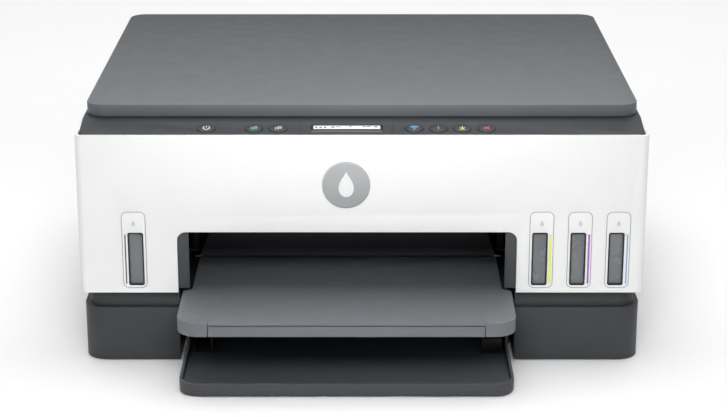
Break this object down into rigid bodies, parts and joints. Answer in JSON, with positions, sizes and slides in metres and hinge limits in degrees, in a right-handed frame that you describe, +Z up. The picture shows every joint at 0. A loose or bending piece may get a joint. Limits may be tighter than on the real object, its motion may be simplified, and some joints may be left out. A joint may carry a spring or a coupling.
{
  "type": "inkjet printer",
  "caption": "All-in-one inkjet printer with front ink-tank windows, a flatbed scanner under a hinged lid, a sloping control panel and sliding front paper trays.",
  "frame": {"origin": "on the table, under the middle of the box that the printer and its drawn-out trays fill", "axes": "+Z up, the control panel and the trays face -Y, the single black ink window is on the -X side"},
  "size_m": [0.437, 0.432, 0.1992],
  "materials": {
    "cover_white": "fine satin",
    "base_charcoal": "fine texture",
    "panel_grey": "fine texture",
    "button_grey": "satin",
    "lid_grey": "fine texture",
    "tray_grey": "fine texture",
    "inner_black": "fine texture",
    "display_black": "gloss",
    "tank_plastic": "translucent, satin",
    "sheet_steel": "zinc plated",
    "rubber": "matt",
    "nylon": "satin",
    "glass": "polished",
    "foam": "matt",
    "circuit_board": "solder resist"
  },
  "bodies": {
    "printer_body": {"base_housing": "base_charcoal", "rubber_foot_front_left": "rubber", "rubber_foot_front_right": "rubber", "rubber_foot_rear_left": "rubber", "rubber_foot_rear_right": "rubber", "mid_frame": "base_charcoal", "front_cover": "cover_white", "left_side_cover": "cover_white", "right_side_cover": "cover_white", "rear_cover": "base_charcoal", "bay_liner": "inner_black", "ink_tank_black": "tank_plastic", "ink_tank_yellow": "tank_plastic", "ink_tank_magenta": "tank_plastic", "ink_tank_cyan": "tank_plastic", "chassis_frame": "sheet_steel", "carriage_rail": "sheet_steel", "platen": "inner_black", "carriage_belt": "rubber", "carriage_motor": "sheet_steel", "feed_motor": "sheet_steel", "service_station": "panel_grey", "main_board": "circuit_board", "power_supply": "inner_black", "power_inlet": "inner_black"},
    "feed_drive": {"feed_roller": "sheet_steel", "feed_gear": "nylon"},
    "exit_roller": {"exit_roller": "rubber"},
    "pickup_arm": {"pickup_arm": "panel_grey"},
    "pickup_roller": {"pickup_roller": "rubber"},
    "carriage": {"carriage": "inner_black", "printhead_black": "panel_grey", "printhead_colour": "panel_grey"},
    "drive_pulley": {"drive_pulley": "nylon"},
    "idler_pulley": {"idler_pulley": "nylon"},
    "tank_cap_black": {"tank_cap_black": "panel_grey"},
    "tank_cap_yellow": {"tank_cap_yellow": "panel_grey"},
    "tank_cap_magenta": {"tank_cap_magenta": "panel_grey"},
    "tank_cap_cyan": {"tank_cap_cyan": "panel_grey"},
    "input_tray": {"input_tray": "base_charcoal"},
    "width_guide_left": {"width_guide_left": "inner_black"},
    "width_guide_right": {"width_guide_right": "inner_black"},
    "output_tray": {"output_tray": "tray_grey"},
    "output_extender": {"output_extender": "tray_grey"},
    "scanner_unit": {"scanner_housing": "panel_grey", "scanner_glass": "glass", "scan_rail": "sheet_steel", "display_window": "display_black", "lid_hinge_left": "panel_grey", "lid_hinge_right": "panel_grey"},
    "scan_bar": {"scan_bar": "inner_black"},
    "power_button": {"power_button": "button_grey"},
    "copy_colour_button": {"copy_colour_button": "button_grey"},
    "copy_black_button": {"copy_black_button": "button_grey"},
    "wireless_button": {"wireless_button": "button_grey"},
    "information_button": {"information_button": "button_grey"},
    "resume_button": {"resume_button": "button_grey"},
    "cancel_button": {"cancel_button": "button_grey"},
    "lid": {"scanner_lid": "lid_grey", "lid_pad": "foam"}
  },
  "joints": [
    {"name": "scanner_unit_hinge", "type": "hinge", "parent": "printer_body", "child": "scanner_unit", "pos_m": [0, 0.2145, 0.1671], "axis": [-1, 0, 0], "range_deg": [0, 35]},
    {"name": "lid_hinge", "type": "hinge", "parent": "scanner_unit", "child": "lid", "pos_m": [0, 0.2095, 0.1926], "axis": [-1, 0, 0], "range_deg": [0, 90]},
    {"name": "scan_bar_travel", "type": "slide", "parent": "scanner_unit", "child": "scan_bar", "axis": [1, 0, 0], "range_m": [0, 0.31]},
    {"name": "power_press", "type": "slide", "parent": "scanner_unit", "child": "power_button", "axis": [0, 0.1994, -0.9799], "range_m": [0, 0.0008], "stiffness_N_per_m": 300, "springref_m": -0.0004},
    {"name": "copy_colour_press", "type": "slide", "parent": "scanner_unit", "child": "copy_colour_button", "axis": [0, 0.1994, -0.9799], "range_m": [0, 0.0008], "stiffness_N_per_m": 300, "springref_m": -0.0004},
    {"name": "copy_black_press", "type": "slide", "parent": "scanner_unit", "child": "copy_black_button", "axis": [0, 0.1994, -0.9799], "range_m": [0, 0.0008], "stiffness_N_per_m": 300, "springref_m": -0.0004},
    {"name": "wireless_press", "type": "slide", "parent": "scanner_unit", "child": "wireless_button", "axis": [0, 0.1994, -0.9799], "range_m": [0, 0.0008], "stiffness_N_per_m": 300, "springref_m": -0.0004},
    {"name": "information_press", "type": "slide", "parent": "scanner_unit", "child": "information_button", "axis": [0, 0.1994, -0.9799], "range_m": [0, 0.0008], "stiffness_N_per_m": 300, "springref_m": -0.0004},
    {"name": "resume_press", "type": "slide", "parent": "scanner_unit", "child": "resume_button", "axis": [0, 0.1994, -0.9799], "range_m": [0, 0.0008], "stiffness_N_per_m": 300, "springref_m": -0.0004},
    {"name": "cancel_press", "type": "slide", "parent": "scanner_unit", "child": "cancel_button", "axis": [0, 0.1994, -0.9799], "range_m": [0, 0.0008], "stiffness_N_per_m": 300, "springref_m": -0.0004},
    {"name": "carriage_travel", "type": "slide", "parent": "printer_body", "child": "carriage", "axis": [-1, 0, 0], "range_m": [0, 0.31]},
    {"name": "drive_pulley_spin", "type": "hinge", "parent": "printer_body", "child": "drive_pulley", "pos_m": [0.188, 0.02925, 0.1021], "axis": [0, -1, 0], "range_deg": [0, 2260]},
    {"name": "idler_pulley_spin", "type": "hinge", "parent": "printer_body", "child": "idler_pulley", "pos_m": [-0.188, 0.02925, 0.1021], "axis": [0, -1, 0], "range_deg": [0, 2260]},
    {"name": "feed_roller_spin", "type": "hinge", "parent": "printer_body", "child": "feed_drive", "pos_m": [0, 0.002, 0.0781], "axis": [1, 0, 0], "continuous": true},
    {"name": "exit_roller_spin", "type": "hinge", "parent": "printer_body", "child": "exit_roller", "pos_m": [0, -0.046, 0.0741], "axis": [1, 0, 0], "continuous": true},
    {"name": "pickup_arm_swing", "type": "hinge", "parent": "printer_body", "child": "pickup_arm", "pos_m": [0, 0.143, 0.0701], "axis": [1, 0, 0], "range_deg": [0, 12]},
    {"name": "pickup_roller_spin", "type": "hinge", "parent": "pickup_arm", "child": "pickup_roller", "pos_m": [0, 0.081, 0.0521], "axis": [1, 0, 0], "continuous": true},
    {"name": "tank_cap_black_hinge", "type": "hinge", "parent": "printer_body", "child": "tank_cap_black", "pos_m": [-0.1764, -0.0935, 0.126], "axis": [-1, 0, 0], "range_deg": [0, 95]},
    {"name": "tank_cap_yellow_hinge", "type": "hinge", "parent": "printer_body", "child": "tank_cap_yellow", "pos_m": [0.1383, -0.0935, 0.126], "axis": [-1, 0, 0], "range_deg": [0, 95]},
    {"name": "tank_cap_magenta_hinge", "type": "hinge", "parent": "printer_body", "child": "tank_cap_magenta", "pos_m": [0.1678, -0.0935, 0.126], "axis": [-1, 0, 0], "range_deg": [0, 95]},
    {"name": "tank_cap_cyan_hinge", "type": "hinge", "parent": "printer_body", "child": "tank_cap_cyan", "pos_m": [0.1973, -0.0935, 0.126], "axis": [-1, 0, 0], "range_deg": [0, 95]},
    {"name": "input_tray_slide", "type": "slide", "parent": "printer_body", "child": "input_tray", "axis": [0, -1, 0], "range_m": [-0.072, 0.12]},
    {"name": "width_guide_left_slide", "type": "slide", "parent": "input_tray", "child": "width_guide_left", "axis": [1, 0, 0], "range_m": [0, 0.05]},
    {"name": "width_guide_right_slide", "type": "slide", "parent": "input_tray", "child": "width_guide_right", "axis": [-1, 0, 0], "range_m": [0, 0.05]},
    {"name": "output_tray_slide", "type": "slide", "parent": "printer_body", "child": "output_tray", "axis": [0, -1, 0], "range_m": [-0.07, 0]},
    {"name": "output_extender_slide", "type": "slide", "parent": "output_tray", "child": "output_extender", "axis": [0, -1, 0], "range_m": [0, 0.095]}
  ],
  "couplings": [
    {"joint": "drive_pulley_spin", "follows": "carriage_travel", "rad_per_m": 126.58},
    {"joint": "idler_pulley_spin", "follows": "carriage_travel", "rad_per_m": 126.58},
    {"joint": "exit_roller_spin", "follows": "feed_roller_spin", "ratio": 1.3478},
    {"joint": "pickup_roller_spin", "follows": "feed_roller_spin", "ratio": 0.5636},
    {"joint": "width_guide_right_slide", "follows": "width_guide_left_slide", "ratio": 1}
  ]
}
